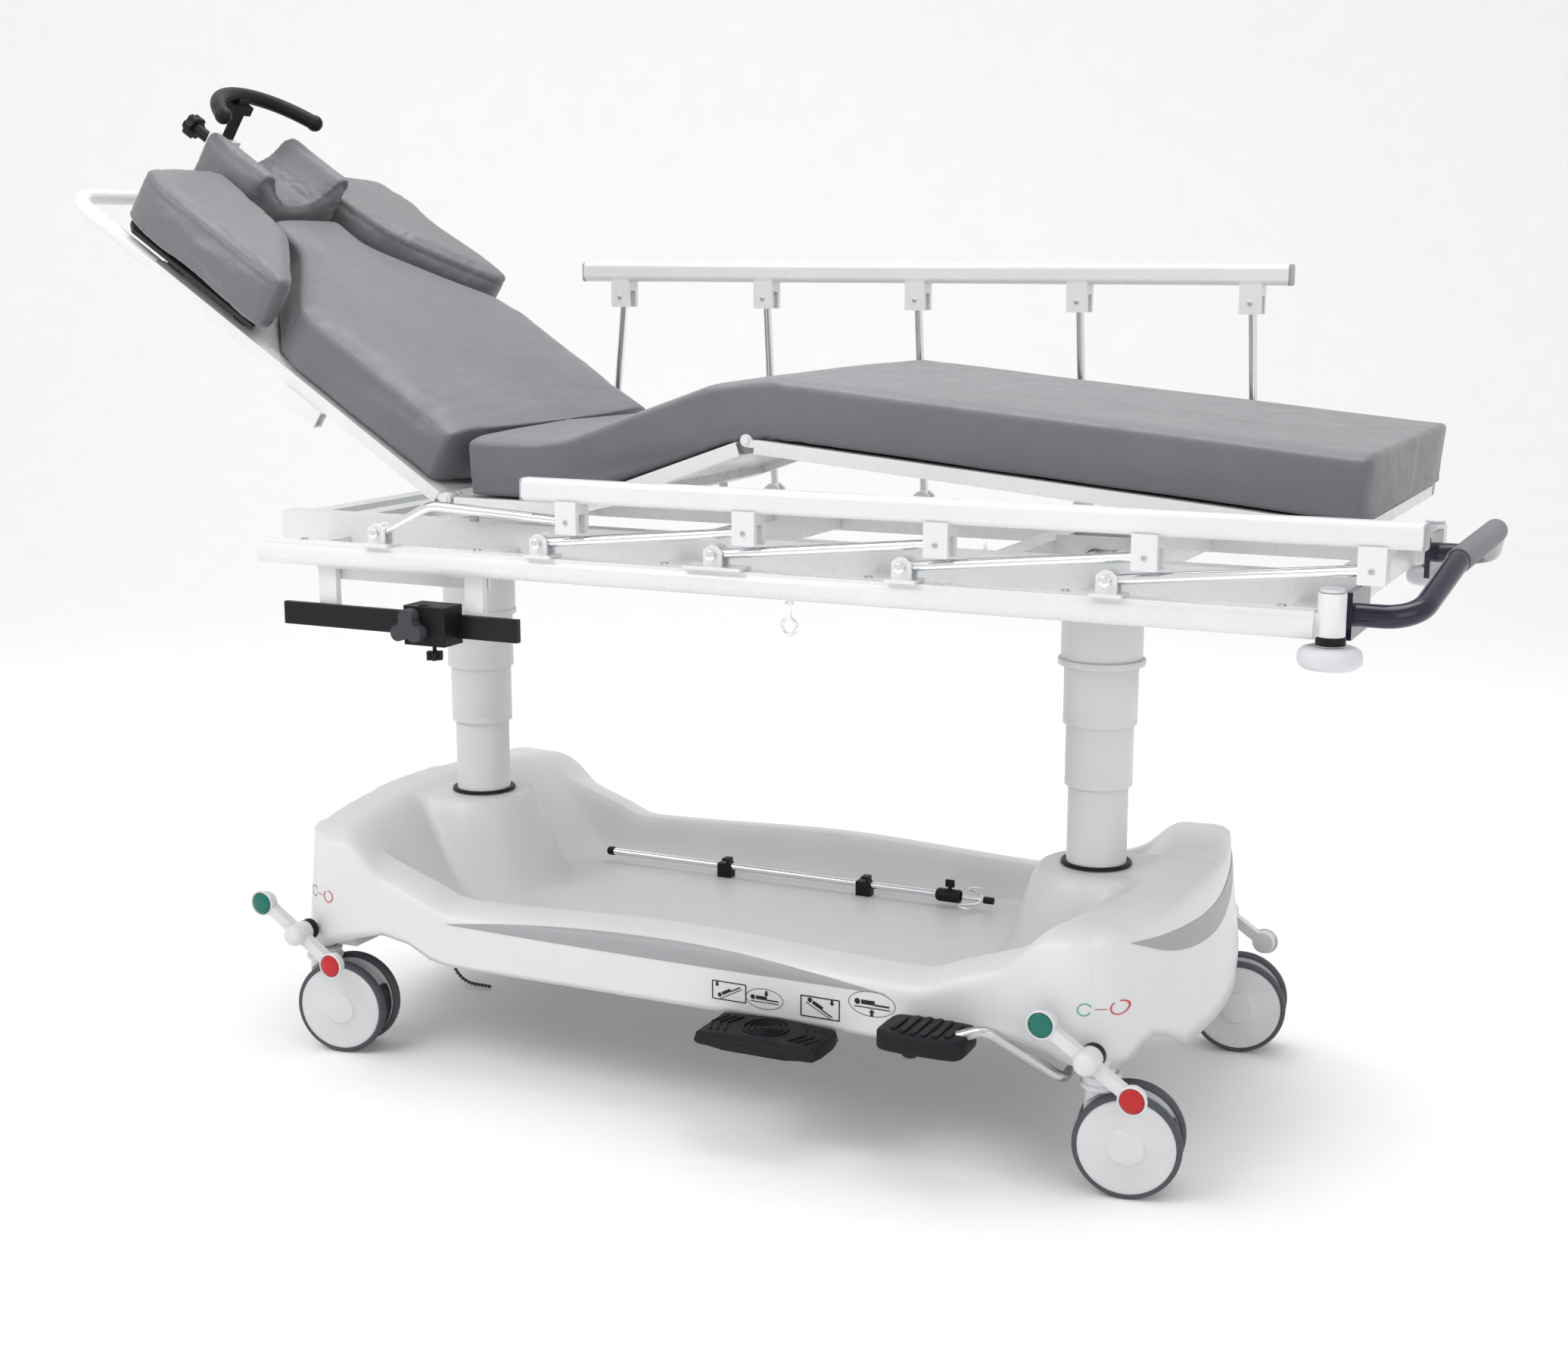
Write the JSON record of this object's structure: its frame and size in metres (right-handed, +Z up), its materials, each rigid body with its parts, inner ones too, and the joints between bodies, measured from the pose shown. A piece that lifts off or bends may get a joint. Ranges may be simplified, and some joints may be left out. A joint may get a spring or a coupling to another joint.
{
  "type": "stretcher trolley",
  "caption": "Patient transport trolley with a sectioned vinyl-covered lying surface on telescopic columns, fold-down side rails, a moulded base and swivel castors.",
  "frame": {"origin": "middle of the bounding box, at floor level", "axes": "+X towards the foot end along the trolley, +Y towards the far side, +Z up"},
  "size_m": [2.1982, 0.864, 1.5377],
  "materials": {
    "white_paint": "gloss powder-coated steel, white",
    "cover_plastic": "light grey-white moulding with a faint fleck",
    "column_paint": "satin light grey paint",
    "steel": "polished round bar",
    "rail_white": "white coated aluminium extrusion",
    "vinyl": "grey vinyl-coated fabric with a soft grain and stitched seams",
    "black_plastic": "fine-textured black",
    "black_board": "smooth black laminate board",
    "black_paint": "gloss black coating",
    "wheel": "dark grey tread on white discs",
    "hood_plastic": "white castor moulding",
    "buffer_plastic": "light grey soft plastic",
    "bar_paint": "dark gloss coating with a grey grip sleeve",
    "chain_metal": "dark twisted conductive strand"
  },
  "bodies": {
    "base": {"chassis": "column_paint", "base_cover": "cover_plastic", "pole_tube": "steel", "antistatic_chain": "chain_metal"},
    "pole_rod": {"pole_rod": "steel"},
    "pole_screw": {"pole_screw": "black_plastic"},
    "head_brake": {"head_brake_levers": "hood_plastic"},
    "foot_brake": {"foot_brake_levers": "hood_plastic"},
    "head_stage_c": {"head_column_stage_c": "column_paint"},
    "head_stage_b": {"head_column_stage_b": "column_paint"},
    "head_stage_a": {"head_column_stage_a": "column_paint"},
    "foot_stage_c": {"foot_column_stage_c": "column_paint"},
    "foot_stage_b": {"foot_column_stage_b": "column_paint"},
    "foot_stage_a": {"foot_column_stage_a": "column_paint"},
    "trunnion": {"tilt_trunnion": "steel"},
    "top_frame": {"upper_frame": "white_paint", "side_beams": "white_paint", "post_brackets": "white_paint", "mattress_seat": "vinyl", "foot_push_bar": "bar_paint", "accessory_rail": "black_paint"},
    "buffer_near": {"buffer_near": "buffer_plastic"},
    "buffer_far": {"buffer_far": "buffer_plastic"},
    "back": {"back_frame": "white_paint", "side_boards": "black_board", "mattress_back": "vinyl", "head_cushions": "vinyl"},
    "wrist_rest": {"wrist_rest": "black_plastic"},
    "wrist_knob": {"wrist_knob": "black_plastic"},
    "thigh": {"thigh_frame": "white_paint", "mattress_thigh": "vinyl"},
    "leg": {"leg_frame": "white_paint", "mattress_leg": "vinyl"},
    "rocker_pedal": {"rocker_pedal": "black_plastic"},
    "pump_pedal": {"pump_pedal": "steel"},
    "rail_clamp": {"rail_clamp": "black_plastic"},
    "clamp_knob": {"clamp_knob": "black_plastic"},
    "clamp_screw": {"clamp_screw": "black_plastic"},
    "castor_head_near": {"castor_head_near_hood": "hood_plastic"},
    "wheels_head_near": {"castor_head_near_wheels": "wheel"},
    "castor_head_far": {"castor_head_far_hood": "hood_plastic"},
    "wheels_head_far": {"castor_head_far_wheels": "wheel"},
    "castor_foot_near": {"castor_foot_near_hood": "hood_plastic"},
    "wheels_foot_near": {"castor_foot_near_wheels": "wheel"},
    "castor_foot_far": {"castor_foot_far_hood": "hood_plastic"},
    "wheels_foot_far": {"castor_foot_far_wheels": "wheel"},
    "near_post_1": {"near_post_1": "steel"},
    "near_post_2": {"near_post_2": "steel"},
    "near_post_3": {"near_post_3": "steel"},
    "near_post_4": {"near_post_4": "steel"},
    "near_post_5": {"near_post_5": "steel"},
    "near_rail": {"near_rail": "rail_white"},
    "near_latch": {"near_latch_pull": "steel"},
    "far_post_1": {"far_post_1": "steel"},
    "far_post_2": {"far_post_2": "steel"},
    "far_post_3": {"far_post_3": "steel"},
    "far_post_4": {"far_post_4": "steel"},
    "far_post_5": {"far_post_5": "steel"},
    "far_rail": {"far_rail": "rail_white"},
    "far_latch": {"far_latch_pull": "steel"}
  },
  "joints": [
    {"name": "castor_head_near_swivel", "type": "hinge", "parent": "base", "child": "castor_head_near", "pos_m": [-0.62585, -0.2985, 0.178], "axis": [0, 0, 1], "continuous": true},
    {"name": "castor_head_near_roll", "type": "hinge", "parent": "castor_head_near", "child": "wheels_head_near", "pos_m": [-0.58646, -0.29155, 0.075], "axis": [-0.1736, 0.9848, 0], "continuous": true},
    {"name": "castor_head_far_swivel", "type": "hinge", "parent": "base", "child": "castor_head_far", "pos_m": [-0.62585, 0.3175, 0.178], "axis": [0, 0, 1], "continuous": true},
    {"name": "castor_head_far_roll", "type": "hinge", "parent": "castor_head_far", "child": "wheels_head_far", "pos_m": [-0.58646, 0.32445, 0.075], "axis": [-0.1736, 0.9848, 0], "continuous": true},
    {"name": "castor_foot_near_swivel", "type": "hinge", "parent": "base", "child": "castor_foot_near", "pos_m": [0.67415, -0.2985, 0.178], "axis": [0, 0, 1], "continuous": true},
    {"name": "castor_foot_near_roll", "type": "hinge", "parent": "castor_foot_near", "child": "wheels_foot_near", "pos_m": [0.71354, -0.29155, 0.075], "axis": [-0.1736, 0.9848, 0], "continuous": true},
    {"name": "castor_foot_far_swivel", "type": "hinge", "parent": "base", "child": "castor_foot_far", "pos_m": [0.67415, 0.3175, 0.178], "axis": [0, 0, 1], "continuous": true},
    {"name": "castor_foot_far_roll", "type": "hinge", "parent": "castor_foot_far", "child": "wheels_foot_far", "pos_m": [0.71354, 0.32445, 0.075], "axis": [-0.1736, 0.9848, 0], "continuous": true},
    {"name": "head_brake_rock", "type": "hinge", "parent": "base", "child": "head_brake", "pos_m": [-0.62585, 0.0095, 0.204], "axis": [0, 1, 0], "range_deg": [-18, 18]},
    {"name": "foot_brake_rock", "type": "hinge", "parent": "base", "child": "foot_brake", "pos_m": [0.67415, 0.0095, 0.204], "axis": [0, 1, 0], "range_deg": [-18, 18]},
    {"name": "head_height", "type": "slide", "parent": "base", "child": "head_stage_c", "axis": [0, 0, 1], "range_m": [-0.0833, 0]},
    {"name": "head_stage_b_slide", "type": "slide", "parent": "head_stage_c", "child": "head_stage_b", "axis": [0, 0, 1], "range_m": [-0.0833, 0]},
    {"name": "head_stage_a_slide", "type": "slide", "parent": "head_stage_b", "child": "head_stage_a", "axis": [0, 0, 1], "range_m": [-0.0833, 0]},
    {"name": "foot_height", "type": "slide", "parent": "base", "child": "foot_stage_c", "axis": [0, 0, 1], "range_m": [-0.0833, 0]},
    {"name": "foot_stage_b_slide", "type": "slide", "parent": "foot_stage_c", "child": "foot_stage_b", "axis": [0, 0, 1], "range_m": [-0.0833, 0]},
    {"name": "foot_stage_a_slide", "type": "slide", "parent": "foot_stage_b", "child": "foot_stage_a", "axis": [0, 0, 1], "range_m": [-0.0833, 0]},
    {"name": "tilt_head", "type": "hinge", "parent": "head_stage_a", "child": "trunnion", "pos_m": [-0.51585, 0.0095, 0.835], "axis": [0, 1, 0], "range_deg": [-13.04, 0]},
    {"name": "tilt_foot", "type": "hinge", "parent": "trunnion", "child": "top_frame", "pos_m": [-0.51585, 0.0095, 0.835], "axis": [0, 1, 0], "range_deg": [0, 13.04]},
    {"name": "buffer_near_spin", "type": "hinge", "parent": "top_frame", "child": "buffer_near", "pos_m": [0.96915, -0.3735, 0.778], "axis": [0, 0, 1], "continuous": true},
    {"name": "buffer_far_spin", "type": "hinge", "parent": "top_frame", "child": "buffer_far", "pos_m": [0.96915, 0.3925, 0.778], "axis": [0, 0, 1], "continuous": true},
    {"name": "backrest_lift", "type": "hinge", "parent": "top_frame", "child": "back", "pos_m": [-0.37585, 0.0095, 0.9], "axis": [0, 1, 0], "range_deg": [-33, 35]},
    {"name": "thigh_lift", "type": "hinge", "parent": "top_frame", "child": "thigh", "pos_m": [-0.16585, 0.0095, 0.9], "axis": [0, -1, 0], "range_deg": [-19.6, 10]},
    {"name": "leg_fold", "type": "hinge", "parent": "thigh", "child": "leg", "pos_m": [0.12996, 0.0095, 1.00533], "axis": [0, -1, 0], "range_deg": [-12.8, 25]},
    {"name": "wrist_rest_height", "type": "slide", "parent": "back", "child": "wrist_rest", "axis": [0.5446, 0, 0.8387], "range_m": [-0.018, 0.05]},
    {"name": "wrist_knob_turn", "type": "hinge", "parent": "back", "child": "wrist_knob", "pos_m": [-1.05669, 0.0095, 1.46734], "axis": [-0.8387, 0, 0.5446], "continuous": true},
    {"name": "near_rail_swing", "type": "hinge", "parent": "top_frame", "child": "near_post_1", "pos_m": [-0.43185, -0.3755, 0.856], "axis": [0, -1, 0], "range_deg": [0, 86.9]},
    {"name": "near_post_2_swing", "type": "hinge", "parent": "top_frame", "child": "near_post_2", "pos_m": [-0.15185, -0.3755, 0.856], "axis": [0, -1, 0], "range_deg": [0, 86.9]},
    {"name": "near_post_3_swing", "type": "hinge", "parent": "top_frame", "child": "near_post_3", "pos_m": [0.12815, -0.3755, 0.856], "axis": [0, -1, 0], "range_deg": [0, 86.9]},
    {"name": "near_post_4_swing", "type": "hinge", "parent": "top_frame", "child": "near_post_4", "pos_m": [0.40815, -0.3755, 0.856], "axis": [0, -1, 0], "range_deg": [0, 86.9]},
    {"name": "near_post_5_swing", "type": "hinge", "parent": "top_frame", "child": "near_post_5", "pos_m": [0.68815, -0.3755, 0.856], "axis": [0, -1, 0], "range_deg": [0, 86.9]},
    {"name": "near_rail_level", "type": "hinge", "parent": "near_post_1", "child": "near_rail", "pos_m": [-0.10249, -0.3755, 0.88887], "axis": [0, -1, 0], "range_deg": [-86.9, 0]},
    {"name": "near_latch_pull", "type": "slide", "parent": "top_frame", "child": "near_latch", "axis": [0, 0, -1], "range_m": [0, 0.012], "stiffness_N_per_m": 300, "springref_m": -0.01},
    {"name": "far_rail_swing", "type": "hinge", "parent": "top_frame", "child": "far_post_1", "pos_m": [-0.43185, 0.3945, 0.856], "axis": [0, -1, 0], "range_deg": [-86.9, 0]},
    {"name": "far_post_2_swing", "type": "hinge", "parent": "top_frame", "child": "far_post_2", "pos_m": [-0.15185, 0.3945, 0.856], "axis": [0, -1, 0], "range_deg": [-86.9, 0]},
    {"name": "far_post_3_swing", "type": "hinge", "parent": "top_frame", "child": "far_post_3", "pos_m": [0.12815, 0.3945, 0.856], "axis": [0, -1, 0], "range_deg": [-86.9, 0]},
    {"name": "far_post_4_swing", "type": "hinge", "parent": "top_frame", "child": "far_post_4", "pos_m": [0.40815, 0.3945, 0.856], "axis": [0, -1, 0], "range_deg": [-86.9, 0]},
    {"name": "far_post_5_swing", "type": "hinge", "parent": "top_frame", "child": "far_post_5", "pos_m": [0.68815, 0.3945, 0.856], "axis": [0, -1, 0], "range_deg": [-86.9, 0]},
    {"name": "far_rail_level", "type": "hinge", "parent": "far_post_1", "child": "far_rail", "pos_m": [-0.44687, 0.3945, 1.18666], "axis": [0, -1, 0], "range_deg": [0, 86.9]},
    {"name": "far_latch_pull", "type": "slide", "parent": "top_frame", "child": "far_latch", "axis": [0, 0, -1], "range_m": [0, 0.012], "stiffness_N_per_m": 300, "springref_m": -0.01},
    {"name": "rocker_tilt", "type": "hinge", "parent": "base", "child": "rocker_pedal", "pos_m": [0.20615, -0.3825, 0.171], "axis": [0, 1, 0], "range_deg": [-10, 10], "stiffness_Nm_per_rad": 20},
    {"name": "pump_press", "type": "hinge", "parent": "base", "child": "pump_pedal", "pos_m": [0.63015, -0.2905, 0.163], "axis": [0, -1, 0], "range_deg": [0, 20], "stiffness_Nm_per_rad": 15, "springref_deg": -14.32},
    {"name": "clamp_slide", "type": "slide", "parent": "top_frame", "child": "rail_clamp", "axis": [1, 0, 0], "range_m": [-0.14, 0.004]},
    {"name": "clamp_knob_turn", "type": "hinge", "parent": "rail_clamp", "child": "clamp_knob", "pos_m": [-0.35485, -0.4185, 0.725], "axis": [0, 1, 0], "continuous": true},
    {"name": "clamp_screw_turn", "type": "hinge", "parent": "rail_clamp", "child": "clamp_screw", "pos_m": [-0.32605, -0.3995, 0.686], "axis": [0, 0, 1], "continuous": true},
    {"name": "pole_extend", "type": "slide", "parent": "base", "child": "pole_rod", "axis": [1, 0, 0], "range_m": [0, 0.09]},
    {"name": "pole_screw_turn", "type": "hinge", "parent": "base", "child": "pole_screw", "pos_m": [0.26115, 0.1955, 0.24], "axis": [0, 0, 1], "continuous": true}
  ],
  "couplings": [
    {"joint": "foot_brake_rock", "follows": "head_brake_rock", "ratio": 1},
    {"joint": "head_stage_b_slide", "follows": "head_height", "ratio": 1},
    {"joint": "head_stage_a_slide", "follows": "head_height", "ratio": 1},
    {"joint": "foot_stage_b_slide", "follows": "foot_height", "ratio": 1},
    {"joint": "foot_stage_a_slide", "follows": "foot_height", "ratio": 1},
    {"joint": "tilt_head", "follows": "head_height", "rad_per_m": 2.7308},
    {"joint": "tilt_foot", "follows": "foot_height", "rad_per_m": -2.7308},
    {"joint": "leg_fold", "follows": "thigh_lift", "ratio": -1.2704},
    {"joint": "near_post_2_swing", "follows": "near_rail_swing", "ratio": 1},
    {"joint": "near_post_3_swing", "follows": "near_rail_swing", "ratio": 1},
    {"joint": "near_post_4_swing", "follows": "near_rail_swing", "ratio": 1},
    {"joint": "near_post_5_swing", "follows": "near_rail_swing", "ratio": 1},
    {"joint": "near_rail_level", "follows": "near_rail_swing", "ratio": -1},
    {"joint": "far_post_2_swing", "follows": "far_rail_swing", "ratio": 1},
    {"joint": "far_post_3_swing", "follows": "far_rail_swing", "ratio": 1},
    {"joint": "far_post_4_swing", "follows": "far_rail_swing", "ratio": 1},
    {"joint": "far_post_5_swing", "follows": "far_rail_swing", "ratio": 1},
    {"joint": "far_rail_level", "follows": "far_rail_swing", "ratio": -1}
  ]
}
